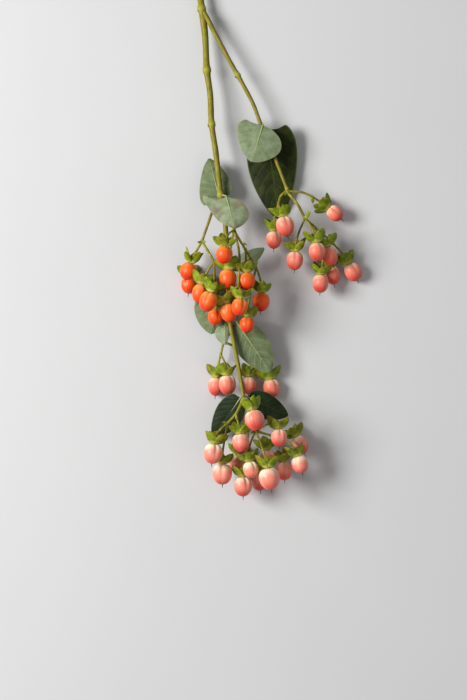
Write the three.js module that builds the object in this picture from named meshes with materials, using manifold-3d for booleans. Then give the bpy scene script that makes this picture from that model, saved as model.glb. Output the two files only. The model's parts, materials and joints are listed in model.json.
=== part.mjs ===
// A cut hypericum stem lying on a table: one woody green stem with a long side shoot, opposite
// pairs of leaves at its nodes, and five forked clusters of egg-shaped berries, each berry seated
// in a ruff of five green sepals on its own thin stalk.
//
// Millimetres, +Z up. The stem runs along Y from its cut end at +Y to its tip at -Y, and the
// table is z = 0. Headings are degrees in plan from +X, and a dip is degrees above the table.
import * as THREE from "three";
import { mergeVertices } from "three/addons/utils/BufferGeometryUtils.js";
import Module from "manifold-3d";

const wasm = await Module();
wasm.setup();

// ---------------------------------------------------------------- driving dimensions
const FIT_GAP = 0.35; // clear space between a piece and the one that carries it
const STEM_SIDES = 8;
const STALK_SIDES = 5;
const BERRY_SIDES = 10;
const STYLE_LENGTH = 2.4; // the dried thread on a berry's tip
const STYLE_RADIUS = 0.35;
const SEPALS = 5;
const SEPAL_LENGTH = 9;
const SEPAL_THICKNESS = 0.6;
const NOTCH_DEPTH = 0.42; // how far the notch between two sepals comes in, as a share of a sepal
const SEPAL_SPREAD = 37; // degrees between a sepal and the stalk behind it
const RECEPTACLE_LENGTH = 1.3;
const RECEPTACLE_RADIUS = 1.5;
const PEDICEL_RADIUS = 0.65;
const LEAF_THICKNESS = 0.7;
const LEAF_BLUNTNESS = 0.62; // below 1 a leaf's tip is fuller than a sine's
const LEAF_ROW_CROWDING = 1.3; // above 1 a blade's rows of faces lie closer near its stalk
const PETIOLE_HALF_WIDTH = 0.8;
const ORIGIN = [2.4, -1.1, -0.01]; // the middle of the plant's outline, under its lowest berry

const UP = new THREE.Vector3(0, 0, 1);
const DEGREES = Math.PI / 180;

const plant = new THREE.Group();

// ---------------------------------------------------------------- small tools
function point(x, y, z) {
  return new THREE.Vector3(x, y, z);
}

// The unit vector of a heading in plan and a dip above the table.
function direction(heading, dip) {
  const level = Math.cos(dip * DEGREES);
  return point(
    level * Math.cos(heading * DEGREES),
    level * Math.sin(heading * DEGREES),
    Math.sin(dip * DEGREES),
  );
}

// The part of a vector that is square to an axis, as a unit vector.
function squareTo(vector, axis) {
  return vector.clone().addScaledVector(axis, -vector.dot(axis)).normalize();
}

// Turns a shape so that its Y runs along axis and its Z leans towards face, and moves it to place.
function stand(geometry, axis, face, place) {
  const z = squareTo(face, axis);
  const x = new THREE.Vector3().crossVectors(axis, z);
  const matrix = new THREE.Matrix4().makeBasis(x, axis, z).setPosition(place);
  return geometry.applyMatrix4(matrix);
}

// Makes a closed geometry a solid that can be joined to others.
function solidOf(geometry) {
  const bare = geometry.index ? geometry.toNonIndexed() : geometry.clone();
  bare.deleteAttribute("normal");
  bare.deleteAttribute("uv");
  const merged = mergeVertices(bare, 1e-4);
  return new wasm.Manifold(
    new wasm.Mesh({
      numProp: 3,
      vertProperties: merged.attributes.position.array,
      triVerts: new Uint32Array(merged.index.array),
    }),
  );
}

// Joins closed geometries that overlap into one closed geometry.
function join(geometries) {
  const whole = geometries.map(solidOf).reduce((sum, solid) => sum.add(solid));
  const mesh = whole.getMesh();
  const joined = new THREE.BufferGeometry();
  joined.setAttribute("position", new THREE.BufferAttribute(mesh.vertProperties, 3));
  joined.setIndex(new THREE.BufferAttribute(mesh.triVerts, 1));
  joined.computeVertexNormals();
  return joined;
}

function add(name, geometry, material) {
  geometry.translate(-ORIGIN[0], -ORIGIN[1], -ORIGIN[2]);
  const mesh = new THREE.Mesh(geometry, material);
  mesh.name = name;
  plant.add(mesh);
}

// A round closed rod bent along a curve, with a radius that changes along it.
function bentRod(curve, radiusAt, sides, steps) {
  const rod = new THREE.CylinderGeometry(1, 1, 1, sides, steps);
  const frames = curve.computeFrenetFrames(steps, false);
  const position = rod.attributes.position;
  const corner = new THREE.Vector3();
  for (let i = 0; i < position.count; i++) {
    corner.fromBufferAttribute(position, i);
    const step = Math.round((corner.y + 0.5) * steps);
    const share = step / steps;
    const radius = radiusAt(share);
    const across = frames.normals[step];
    const side = new THREE.Vector3().crossVectors(across, frames.tangents[step]);
    const place = curve
      .getPointAt(share)
      .addScaledVector(across, corner.x * radius)
      .addScaledVector(side, corner.z * radius);
    position.setXYZ(i, place.x, place.y, place.z);
  }
  return rod;
}

// A stalk through hand-placed points, tapering evenly from its first radius to its last.
function stalk(points, first, last, sides = STALK_SIDES, stepsEach = 2) {
  const curve = new THREE.CatmullRomCurve3(points, false, "centripetal");
  const steps = stepsEach * (points.length - 1);
  return bentRod(curve, (share) => first + (last - first) * share, sides, steps);
}

// ---------------------------------------------------------------- materials
function surface(color, roughness) {
  return new THREE.MeshStandardMaterial({ color, roughness, metalness: 0 });
}
const stemGreen = surface(0x9a9a3c, 0.55);
const stalkGreen = surface(0x8a8f38, 0.6);
const leafPale = surface(0x9db592, 0.6);
const leafDark = surface(0x1f3a22, 0.45);
const berryOrange = surface(0xf26a2e, 0.3);
const berryCoral = surface(0xe87263, 0.3);
const berryPink = surface(0xf09a8c, 0.3);

// ---------------------------------------------------------------- main stem and side shoot
// Both are woody rods. The stem swells at each node, where a pair of leaves or their scars sit.
const CUT_END = [-48, 200, 2.4];
const FORK = [-40.9, 104.5, 7];
const LOWER_SCARS = [-37.6, 65.5, 10];
const UPPER_SCARS = [-34.6, 31.4, 13];
const FIRST_LEAVES = [-29, -12.7, 16];
const SECOND_LEAVES = [-24.8, -60.4, 15];
const THIRD_LEAVES = [-23.5, -90.2, 15];
const TIP_LEAVES = [-14.8, -137.9, 22];

const STEM_ROUTE = [
  CUT_END,
  [-44.3, 144.2, 4.6],
  FORK,
  [-38.8, 88.4, 8],
  LOWER_SCARS,
  [-35.5, 50, 11.4],
  UPPER_SCARS,
  [-32.1, 14.6, 14.4],
  [-30, -3.4, 15.4],
  FIRST_LEAVES,
  [-26.3, -28.8, 15.6],
  SECOND_LEAVES,
  [-24.1, -72.8, 14.8],
  THIRD_LEAVES,
  [-20.9, -103.8, 16.6],
  [-17.5, -121.8, 19.4],
  TIP_LEAVES,
];
const STEM_BUTT_RADIUS = 2.4;
const STEM_TIP_RADIUS = 1.15;
const NODE_SWELL = 1.32; // a node's radius over the stem's
const NODE_LENGTH = 5;
const SCAR_REACH = 1.1; // how far a shed leaf's stub stands out from the stem

const SHOOT_START = [-36.8, 97, 9];
const SHOOT_LEAVES = [-3, 28.9, 12];
const SHOOT_TIP = [13.4, -8.3, 14];
const SHOOT_ROUTE = [
  SHOOT_START,
  [-33.3, 90, 9.4],
  [-24.8, 73.8, 10.4],
  [-13.4, 53.4, 11.2],
  [-8.6, 43.9, 11.6],
  SHOOT_LEAVES,
  [4.7, 10.9, 12.8],
  SHOOT_TIP,
];
const SHOOT_START_RADIUS = 1.4;
const SHOOT_TIP_RADIUS = 0.95;

function nodeSwelling(place, along, radius) {
  const swelling = new THREE.SphereGeometry(1, STEM_SIDES, 4);
  swelling.scale(radius * NODE_SWELL, NODE_LENGTH / 2, radius * NODE_SWELL);
  return stand(swelling, along, UP, place);
}

// The stub that a shed leaf leaves on a node's flank.
function leafScar(place, along, radius, side) {
  const outwards = new THREE.Vector3().crossVectors(along, UP).multiplyScalar(side).normalize();
  const stub = new THREE.CylinderGeometry(0.45, 0.8, radius + SCAR_REACH, 5);
  stub.translate(0, (radius + SCAR_REACH) / 2, 0);
  return stand(stub, outwards, UP, place);
}

function woodyRod(route, first, last, steps, nodes, scars) {
  const curve = new THREE.CatmullRomCurve3(
    route.map((p) => point(...p)),
    false,
    "centripetal",
  );
  const radiusAt = (share) => first + (last - first) * share;
  const pieces = [bentRod(curve, radiusAt, STEM_SIDES, steps)];
  for (const node of nodes) {
    const share = shareNearest(curve, point(...node));
    pieces.push(nodeSwelling(point(...node), curve.getTangentAt(share), radiusAt(share)));
  }
  for (const node of scars) {
    const share = shareNearest(curve, point(...node));
    for (const side of [-1, 1]) {
      pieces.push(leafScar(point(...node), curve.getTangentAt(share), radiusAt(share), side));
    }
  }
  return join(pieces);
}

// How far along a curve, from 0 to 1, its point nearest to a place is.
function shareNearest(curve, place) {
  const steps = 400;
  let best = 0;
  for (let i = 1; i < steps; i++) {
    const nearer = curve.getPointAt(i / steps).distanceTo(place);
    if (nearer < curve.getPointAt(best / steps).distanceTo(place)) best = i;
  }
  return best / steps;
}

add(
  "main_stem",
  woodyRod(
    STEM_ROUTE,
    STEM_BUTT_RADIUS,
    STEM_TIP_RADIUS,
    26,
    [FORK, LOWER_SCARS, UPPER_SCARS, FIRST_LEAVES, SECOND_LEAVES, THIRD_LEAVES],
    [LOWER_SCARS, UPPER_SCARS],
  ),
  stemGreen,
);
add(
  "side_shoot",
  woodyRod(SHOOT_ROUTE, SHOOT_START_RADIUS, SHOOT_TIP_RADIUS, 12, [SHOOT_LEAVES], []),
  stemGreen,
);

// ---------------------------------------------------------------- leaves
// Each leaf is one thin blade on a short stalk. A leaf in front of the stem shows its pale
// underside, and one behind it shows its dark upper side. `face` is 1 where the upper side is up.
//   base, heading, dip, roll about the midrib, length, curl along the midrib and cupping, and
//   the left and the right half, looking from above and from the stalk. Of a half: its width,
//   the share of the length at which it is widest, and how far its lobe reaches back
const LEAVES = {
  first_back: {
    base: [-29.9, -13.6, 12], heading: 104, dip: -10, roll: -8, length: 25, curl: -6, cup: 0.12,
    left: [12.2, 0.2, 6], right: [9, 0.28, 3], face: -1,
  },
  first_front: {
    base: [-25.4, -14.4, 20.1], heading: -74, dip: 18, roll: -6, length: 20.6, curl: 24, cup: 0.12,
    left: [11.2, 0.6, 0], right: [14, 0.13, 9], face: -1,
  },
  shoot_front: {
    base: [-2.8, 30.5, 15.6], heading: -107, dip: 14, roll: 2, length: 24, curl: 22, cup: 0.12,
    left: [15, 0.44, 0], right: [15, 0.24, 3.6], face: -1,
  },
  shoot_back: {
    base: [-0.4, 28.4, 9], heading: -82, dip: -6.5, roll: 3, length: 56, curl: -2, cup: 0.1,
    left: [17.4, 0.26, 7], right: [14.8, 0.36, 5], face: 1,
  },
  second_left: {
    base: [-26.6, -64, 11.3], heading: -104, dip: 1.5, roll: 2, length: 36, curl: 6, cup: 0.08,
    left: [11, 0.45, 3], right: [14.4, 0.54, 3], face: -1,
  },
  second_right: {
    base: [-22.6, -58.6, 13], heading: 31, dip: 2, roll: 12, length: 24.5, curl: 10, cup: 0.12,
    left: [4.8, 0.42, 0], right: [5.6, 0.42, 0], face: -1,
  },
  third_right: {
    base: [-19.2, -91.3, 13], heading: -56, dip: 4.6, roll: -4, length: 38, curl: 8, cup: 0.08,
    left: [10.6, 0.5, 0], right: [10.6, 0.4, 0], face: -1,
  },
  third_left: {
    base: [-26.1, -92.8, 14.6], heading: -91, dip: -1, roll: 2, length: 13, curl: 8, cup: 0.1,
    left: [2.3, 0.5, 0], right: [6.4, 0.45, 0], face: -1,
  },
  tip_left: {
    base: [-16.6, -138.6, 18.6], heading: -125, dip: -18, roll: 4, length: 32, curl: 4, cup: 0.1,
    left: [9, 0.42, 0], right: [9, 0.38, 2], face: 1,
  },
  tip_right: {
    base: [-12, -138.2, 18.8], heading: -25, dip: -16, roll: -4, length: 29, curl: 4, cup: 0.1,
    left: [7.6, 0.38, 1], right: [8.5, 0.42, 0], face: 1,
  },
};

// How wide one half of a leaf is at a share of its length: a half oval, widest at `widest`, with a
// round base and a blunt tip.
function leafHalfWidth(share, [halfWidth, widest]) {
  const warp = Math.log(0.5) / Math.log(widest);
  const fullness = share < widest ? 0.5 / warp : LEAF_BLUNTNESS;
  const blade = halfWidth * Math.pow(Math.sin(Math.PI * Math.pow(share, warp)), fullness);
  return Math.max(PETIOLE_HALF_WIDTH, blade);
}

function leafBlade({ base, heading, dip, roll, length, curl, cup, left, right }) {
  const blade = new THREE.BoxGeometry(2, 1, 1, 4, 7, 1);
  const forward = direction(heading, dip);
  const normal = squareTo(UP, forward).applyAxisAngle(forward, roll * DEGREES);
  const side = new THREE.Vector3().crossVectors(forward, normal);
  const bend = (curl * DEGREES) / length;
  const position = blade.attributes.position;
  const corner = new THREE.Vector3();
  for (let i = 0; i < position.count; i++) {
    corner.fromBufferAttribute(position, i);
    const share = Math.pow(corner.y + 0.5, LEAF_ROW_CROWDING);
    const half = corner.x > 0 ? right : left;
    const lobe = share > 0 ? half[2] * corner.x * corner.x * Math.pow(1 - share, 3) : 0;
    const run = share * length - lobe;
    const out = corner.x * leafHalfWidth(share, half);
    const ahead = Math.sin(bend * run) / bend;
    const drop = (1 - Math.cos(bend * run)) / bend;
    const lift = corner.z * LEAF_THICKNESS - cup * Math.abs(out * corner.x) - drop;
    const place = point(...base)
      .addScaledVector(forward, ahead)
      .addScaledVector(side, out)
      .addScaledVector(normal, lift);
    position.setXYZ(i, place.x, place.y, place.z);
  }
  return blade;
}

for (const [name, leaf] of Object.entries(LEAVES)) {
  add(`leaf_${name}`, leafBlade(leaf), leaf.face > 0 ? leafDark : leafPale);
}

// ---------------------------------------------------------------- berries
// An egg-shaped fruit, broad at the shoulders by the calyx, with a dried thread on its tip.
const BERRY_PROFILE = [
  // share of the length, share of the radius
  [0.08, 0.62],
  [0.28, 0.95],
  [0.52, 1],
  [0.75, 0.82],
  [0.92, 0.46],
];

function berryShape(radius, length) {
  const profile = [new THREE.Vector2(0, length * 0.03)];
  for (const [along, out] of BERRY_PROFILE) {
    profile.push(new THREE.Vector2(radius * out, length * along));
  }
  profile.push(new THREE.Vector2(STYLE_RADIUS, length));
  profile.push(new THREE.Vector2(STYLE_RADIUS, length + STYLE_LENGTH));
  profile.push(new THREE.Vector2(0, length + STYLE_LENGTH));
  return new THREE.LatheGeometry(profile, BERRY_SIDES);
}

function berryBase({ at, heading, dip, length }) {
  return point(...at).addScaledVector(direction(heading, dip), -length / 2);
}

function addBerry(name, berry, material) {
  const shape = berryShape(berry.radius, berry.length);
  const axis = direction(berry.heading, berry.dip);
  add(name, stand(shape, axis, UP, berryBase(berry)), material);
}

// ---------------------------------------------------------------- calyxes and stalks
// The receptacle under a berry with its ruff of five pointed sepals, flared back over the stalk.
// It is turned like a cup with two spokes to a sepal: one to its point, one to the notch beside it.
function calyx(berry) {
  const axis = direction(berry.heading, berry.dip);
  const back = axis.clone().negate();
  const out = Math.sin(SEPAL_SPREAD * DEGREES);
  const behind = Math.cos(SEPAL_SPREAD * DEGREES);
  const profile = [
    new THREE.Vector2(0, 0),
    new THREE.Vector2(RECEPTACLE_RADIUS, 0),
    new THREE.Vector2(RECEPTACLE_RADIUS + SEPAL_LENGTH * out, SEPAL_LENGTH * behind),
    new THREE.Vector2(
      RECEPTACLE_RADIUS + SEPAL_LENGTH * out - SEPAL_THICKNESS * behind,
      SEPAL_LENGTH * behind + SEPAL_THICKNESS * out,
    ),
    new THREE.Vector2(PEDICEL_RADIUS + 0.3, RECEPTACLE_LENGTH),
    new THREE.Vector2(0, RECEPTACLE_LENGTH + 0.2),
  ];
  const ruff = new THREE.LatheGeometry(profile, SEPALS * 2);
  const position = ruff.attributes.position;
  const corner = new THREE.Vector3();
  for (let i = 0; i < position.count; i++) {
    corner.fromBufferAttribute(position, i);
    const radius = Math.hypot(corner.x, corner.z);
    const spoke = Math.round(Math.atan2(corner.x, corner.z) / (Math.PI / SEPALS));
    if (radius < RECEPTACLE_RADIUS + 0.1 || spoke % 2 === 0) continue;
    const drawnIn = NOTCH_DEPTH * (radius - RECEPTACLE_RADIUS);
    corner.x *= (radius - drawnIn) / radius;
    corner.z *= (radius - drawnIn) / radius;
    corner.y *= 1 - NOTCH_DEPTH;
    position.setXYZ(i, corner.x, corner.y, corner.z);
  }
  ruff.rotateY(berry.turn * DEGREES);
  const seat = berryBase(berry).addScaledVector(back, FIT_GAP);
  return stand(ruff, back, UP, seat);
}

// A thin stalk from a fork of the cluster to the receptacle, arriving along the berry's axis.
function pedicel(from, berry) {
  const axis = direction(berry.heading, berry.dip);
  const start = point(...from);
  const end = berryBase(berry).addScaledVector(axis, -FIT_GAP - RECEPTACLE_LENGTH * 0.6);
  const reach = Math.min(7, start.distanceTo(end) * 0.4);
  const turn = end.clone().addScaledVector(axis, -reach);
  const curve = new THREE.QuadraticBezierCurve3(start, turn, end);
  return bentRod(curve, () => PEDICEL_RADIUS, STALK_SIDES, 3);
}

// ---------------------------------------------------------------- the five clusters
// Each cluster is a peduncle with rays, listed as routes with their first and last radius, and the
// berries on it. A berry's stalk leaves the last point of the ray that it names:
//   ray, centre of the fruit, heading and dip of its tip, radius, length without the thread, and
//   how far its calyx is turned about the stalk from having one sepal on top
const CLUSTERS = {
  orange_left: {
    material: berryOrange,
    rays: {
      peduncle: {
        radii: [0.95, 0.8],
        route: [[-31.6, -15.4, 17.4], [-34.6, -24.4, 19], [-40.6, -41.8, 19.6]],
      },
      outer: { radii: [0.8, 0.7], route: [[-40.6, -41.8, 19.6], [-45, -49.4, 18]] },
      inner: { radii: [0.8, 0.7], route: [[-40.6, -41.8, 19.6], [-36, -49, 21], [-33.1, -54.6, 22.6]] },
    },
    berries: [
      ["outer", [-49.1, -60.1, 17.4], -108, 4, 5.2, 11.4, 36],
      ["outer", [-48.8, -68.2, 5], -95, -3, 5, 11, 0],
      ["inner", [-36.6, -79.2, 32.4], -108, 0, 5.4, 12.8, 10],
      ["inner", [-41.6, -74, 22.8], -104, 0, 5.2, 12.2, -10],
      ["inner", [-32.3, -88.4, 18.4], -93, 0, 4.8, 10.4, -17],
    ],
  },
  orange_right: {
    material: berryOrange,
    rays: {
      peduncle: {
        radii: [0.95, 0.85],
        route: [[-26.2, -18, 17.9], [-24, -26, 17.8], [-20.6, -35, 18.4]],
      },
      middle: { radii: [0.8, 0.7], route: [[-20.6, -35, 18.4], [-17.4, -50, 27], [-18, -70, 31.8]] },
      right: { radii: [0.8, 0.7], route: [[-20.6, -35, 18.4], [-13.6, -47, 22.6]] },
      low: { radii: [0.7, 0.65], route: [[-13.6, -47, 22.6], [-7, -58, 21]] },
    },
    berries: [
      ["peduncle", [-26.7, -50.8, 38], -96, -6, 5.1, 11.2, -15],
      ["peduncle", [-24.5, -65.4, 28.45], -92, 5, 5.4, 12.4, 36],
      ["right", [-12.8, -66.6, 27.6], -88, 0, 5.3, 11.6, 22],
      ["middle", [-24, -86, 27], -76, 0, 5, 12, 26],
      ["middle", [-17.4, -82.6, 35.4], -100, 0, 5.1, 11.2, -12],
      ["low", [-3.9, -79.2, 20], -92, 0, 5.3, 11.8, 0],
      ["low", [-12.7, -93.4, 25], -92, 12, 4.6, 10.2, -6],
    ],
  },
  coral_shoot: {
    material: berryCoral,
    rays: {
      left: { radii: [0.85, 0.7], route: [[12, -10.2, 14.4], [8.4, -13.4, 16], [6.8, -18.4, 17]] },
      centre: { radii: [0.95, 0.85], route: [[12, -10.2, 14.4], [19, -19, 16], [23.3, -27.5, 17.4]] },
      right: { radii: [0.8, 0.7], route: [[12, -10.2, 14.4], [22.1, -11, 13], [28.3, -13.6, 11.4]] },
      far: { radii: [0.8, 0.7], route: [[23.3, -27.5, 17.4], [32, -34.4, 12], [38.3, -39.7, 7.6]] },
    },
    berries: [
      ["right", [42.3, -23.8, 8.4], -40, 6, 4.8, 10.6, 5],
      ["left", [10.9, -32.4, 22], -76, 0, 5.6, 13, 36],
      ["left", [4.1, -40.2, 10.4], -90, 0, 4.9, 11.4, 0],
      ["centre", [30.6, -48.4, 24], -84, 4, 5.2, 12, 36],
      ["centre", [38.6, -50.6, 17.4], -70, -4, 5, 12, -8],
      ["centre", [17.1, -53.4, 15], -92, 0, 5.2, 12, 36],
      ["far", [33.2, -67.6, 12.4], -94, 0, 5, 11.6, 8],
      ["far", [41, -62.2, 4.9], -80, -3, 4.9, 11.6, 0],
      ["far", [53.8, -60.2, 5.4], -62, -3, 5.4, 12, 0],
    ],
  },
  coral_back: {
    material: berryCoral,
    rays: {
      left: {
        radii: [0.9, 0.7],
        route: [[-23.4, -94.2, 12.9], [-22.9, -97.4, 7.4], [-27, -104, 6.8], [-29, -112, 7.4]],
      },
      cross: { radii: [0.8, 0.7], route: [[-27, -104, 6.8], [-17, -108, 7.2], [-7.6, -111.4, 7.2]] },
    },
    berries: [
      ["left", [-32, -131.8, 5], -94, -3, 5, 12, 0],
      ["left", [-24.8, -130.6, 14.6], -88, 0, 5.4, 12.4, 36],
      ["cross", [-11.6, -131, 4.9], -90, -3, 4.9, 11.6, 0],
      ["cross", [2.8, -132.9, 5.2], -84, -3, 5.2, 12, 0],
    ],
  },
  pink_tip: {
    material: berryPink,
    rays: {
      left: {
        radii: [1, 0.75],
        route: [[-15.2, -139.6, 22.4], [-19.5, -148.4, 24.6], [-24.4, -154, 24.4]],
      },
      front: { radii: [0.8, 0.7], route: [[-15.2, -139.6, 22.4], [-14.6, -141.2, 25.4]] },
      side: { radii: [0.8, 0.7], route: [[-19.5, -148.4, 24.6], [-18.9, -151.4, 25.8]] },
      centre: {
        radii: [1, 0.75],
        route: [[-15.2, -139.6, 22.4], [-10.6, -150, 22.4], [-7.1, -159, 24]],
      },
      right: { radii: [0.8, 0.7], route: [[-7.1, -159, 24], [2.4, -162, 19], [10, -164, 16.4]] },
      under: { radii: [0.8, 0.7], route: [[-10.6, -150, 22.4], [-12, -160, 15], [-12, -168, 12.4]] },
    },
    berries: [
      ["front", [-8, -151.8, 39], -76, 8, 6, 13.4, 30],
      ["side", [-16.4, -165.8, 30.6], -84, 0, 5.3, 11.6, 0],
      ["left", [-33.6, -172.6, 27.8], -97, 0, 5.8, 12.8, 36],
      ["left", [-27.9, -185.8, 18], -89, 0, 6.1, 13.2, 0],
      ["centre", [6.8, -162.6, 32.6], -88, 4, 5, 11.2, -20],
      ["centre", [-10.4, -182.7, 25.8], -80, 0, 4.8, 10.8, 4],
      ["centre", [1.1, -188, 29.4], -80, 0, 6.4, 14, 0],
      ["right", [20.4, -168.4, 8.4], -62, -4, 5.3, 12.4, 0],
      ["right", [20.2, -179.8, 19.4], -74, 0, 5.3, 11.2, -32],
      ["right", [10.6, -184.3, 9.4], -86, 0, 5.1, 12, 0],
      ["right", [0.4, -176.5, 13], -84, 0, 5, 11.6, -30],
      ["under", [-18.8, -179.8, 5], -92, -3, 5, 11.6, 0],
      ["under", [-15.2, -193.6, 16.6], -89, 0, 5.7, 12.6, 4],
      ["under", [-5, -191.4, 5], -82, -3, 5, 11.6, 0],
    ],
  },
};

for (const [cluster, { material, rays, berries }] of Object.entries(CLUSTERS)) {
  const green = [];
  for (const { route, radii } of Object.values(rays)) {
    green.push(stalk(route.map((p) => point(...p)), ...radii));
  }
  berries.forEach(([ray, at, heading, dip, radius, length, turn], i) => {
    const berry = { at, heading, dip, radius, length, turn };
    green.push(pedicel(rays[ray].route.at(-1), berry), calyx(berry));
    addBerry(`berry_${cluster}_${i + 1}`, berry, material);
  });
  add(`stalks_${cluster}`, join(green), stalkGreen);
}

export default plant;
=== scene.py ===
import json
import math
import random

import bpy
from mathutils import Matrix, Vector, noise

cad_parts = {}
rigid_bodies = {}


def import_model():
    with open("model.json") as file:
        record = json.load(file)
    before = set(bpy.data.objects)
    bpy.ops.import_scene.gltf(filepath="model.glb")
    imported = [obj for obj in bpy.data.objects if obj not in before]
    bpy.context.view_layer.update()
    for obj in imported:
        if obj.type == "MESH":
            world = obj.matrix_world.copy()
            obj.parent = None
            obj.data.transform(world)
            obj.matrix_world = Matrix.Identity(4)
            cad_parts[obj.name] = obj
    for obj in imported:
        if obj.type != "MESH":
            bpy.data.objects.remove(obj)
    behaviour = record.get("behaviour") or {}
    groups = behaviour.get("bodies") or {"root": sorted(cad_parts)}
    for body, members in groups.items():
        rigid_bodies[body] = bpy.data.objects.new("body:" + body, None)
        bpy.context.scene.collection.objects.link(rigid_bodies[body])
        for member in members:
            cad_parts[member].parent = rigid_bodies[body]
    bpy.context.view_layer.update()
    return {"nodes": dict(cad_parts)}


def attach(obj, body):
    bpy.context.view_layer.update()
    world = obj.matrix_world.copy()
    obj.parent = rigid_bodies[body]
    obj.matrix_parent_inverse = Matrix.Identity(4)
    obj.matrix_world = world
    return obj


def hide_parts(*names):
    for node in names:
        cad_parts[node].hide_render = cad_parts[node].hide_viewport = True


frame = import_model()


# ------------------------------------------------------------------ main stem and side shoot
# Young woody stems, yellow-green with brown tints and two low ridges, cut across at the butt, with painted
# shade on the flank away from the lamp.
# They swell at the nodes, where shed leaves have left stubs. The side shoot grows from the fork.
MM = 0.001
DRAWING_ORIGIN = Vector((2.4, -1.1, -0.01))
UP = Vector((0, 0, 1))

CUT_END = (-48, 200, 2.4)
FORK = (-40.9, 104.5, 7)
LOWER_SCARS = (-37.6, 65.5, 10)
UPPER_SCARS = (-34.6, 31.4, 13)
FIRST_LEAVES = (-29, -12.7, 16)
SECOND_LEAVES = (-24.8, -60.4, 15)
THIRD_LEAVES = (-23.5, -90.2, 15)
TIP_LEAVES = (-14.8, -137.9, 22)
STEM_ROUTE = (
    CUT_END, (-44.3, 144.2, 4.6), FORK, (-38.8, 88.4, 8), LOWER_SCARS, (-35.5, 50, 11.4),
    UPPER_SCARS, (-32.1, 14.6, 14.4), (-30, -3.4, 15.4), FIRST_LEAVES, (-26.3, -28.8, 15.6),
    SECOND_LEAVES, (-24.1, -72.8, 14.8), THIRD_LEAVES, (-20.9, -103.8, 16.6),
    (-17.5, -121.8, 19.4), TIP_LEAVES,
)
SHOOT_LEAVES = (-3, 28.9, 12)
SHOOT_SCARS = (-18.6, 62.6, 10.9)
SHOOT_TIP = (12.5, -9.6, 14.2)
SHOOT_ROUTE = (
    (-39.6, 102.2, 7.8), (-36.8, 97, 9), (-33.3, 90, 9.4), (-24.8, 73.8, 10.4),
    (-13.4, 53.4, 11.2), (-8.6, 43.9, 11.6), SHOOT_LEAVES, (4.7, 10.9, 12.8), SHOOT_TIP,
)


def spot(place):
    """A point of the drawing, in metres in the row's frame."""
    return (Vector(place) - DRAWING_ORIGIN) * MM


def smooth_line(places, count):
    """Evenly spaced points of the smooth line through the given ones."""
    places = [Vector(p) for p in places]
    ends = [places[0] * 2 - places[1], *places, places[-1] * 2 - places[-2]]
    dense = []
    for a, b, c, d in zip(ends, ends[1:], ends[2:], ends[3:]):
        tb = (b - a).length ** 0.5
        tc = tb + (c - b).length ** 0.5
        td = tc + (d - c).length ** 0.5
        for i in range(24):
            t = tb + (tc - tb) * i / 24
            ab = a.lerp(b, t / tb)
            bc = b.lerp(c, (t - tb) / (tc - tb))
            cd = c.lerp(d, (t - tc) / (td - tc))
            early = ab.lerp(bc, t / tc)
            late = bc.lerp(cd, (t - tb) / (td - tb))
            dense.append(early.lerp(late, (t - tb) / (tc - tb)))
    dense.append(places[-1])
    reach = [0.0]
    for a, b in zip(dense, dense[1:]):
        reach.append(reach[-1] + (b - a).length)
    line, at = [], 0
    for i in range(count):
        wanted = reach[-1] * i / (count - 1)
        while at < len(dense) - 2 and reach[at + 1] < wanted:
            at += 1
        line.append(dense[at].lerp(dense[at + 1], (wanted - reach[at]) / (reach[at + 1] - reach[at])))
    return line


def headings(line):
    """The unit direction of a line at each of its points."""
    return [
        (line[min(i + 1, len(line) - 1)] - line[max(i - 1, 0)]).normalized()
        for i in range(len(line))
    ]


class Shape:
    """Points and faces gathered for one mesh, with a UV map and a vector called shade per point."""

    def __init__(self):
        self.points, self.faces, self.uvs, self.slots, self.shades = [], [], [], [], []

    def tube(self, rings, uv, shade, slot=lambda column: 0):
        """Skins closed rings, in order along the tube and turning rightwards, and closes its ends."""
        first, around, last = len(self.points), len(rings[0]), len(rings) - 1
        for row, ring in enumerate(rings):
            self.points += ring
            self.shades += [shade(row, column) for column in range(around)]
        for row in range(last):
            low, high = first + row * around, first + (row + 1) * around
            for column in range(around):
                beside = (column + 1) % around
                self.faces.append((low + column, low + beside, high + beside, high + column))
                self.uvs += [
                    uv(row, column), uv(row, column + 1), uv(row + 1, column + 1), uv(row + 1, column)
                ]
                self.slots.append(slot(column))
        for row, order in ((0, -1), (last, 1)):
            centre = len(self.points)
            self.points.append(sum(rings[row], Vector()) / around)
            self.shades.append(shade(row, 0))
            for column in range(around):
                pair = (column, (column + 1) % around)[::order]
                self.faces.append((centre, *(first + row * around + c for c in pair)))
                self.uvs += [uv(row, column)] * 3
                self.slots.append(slot(column))

    def build(self, name, *materials):
        """The finished mesh as an object in the scene."""
        mesh = bpy.data.meshes.new(name)
        mesh.from_pydata(self.points, [], self.faces)
        layer = mesh.uv_layers.new(name="surface")
        layer.data.foreach_set("uv", [number for pair in self.uvs for number in pair])
        shades = mesh.attributes.new("shade", "FLOAT_VECTOR", "POINT")
        shades.data.foreach_set("vector", [number for shade in self.shades for number in shade])
        for material in materials:
            mesh.materials.append(material)
        mesh.polygons.foreach_set("material_index", self.slots)
        mesh.shade_smooth()
        made = bpy.data.objects.new(name, mesh)
        bpy.context.scene.collection.objects.link(made)
        return made


def paint(code):
    """A colour code as linear red, green, blue and alpha."""
    parts = [int(code[i:i + 2], 16) / 255 for i in (1, 3, 5)]
    return (*(p / 12.92 if p <= 0.04045 else ((p + 0.055) / 1.055) ** 2.4 for p in parts), 1.0)


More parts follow.
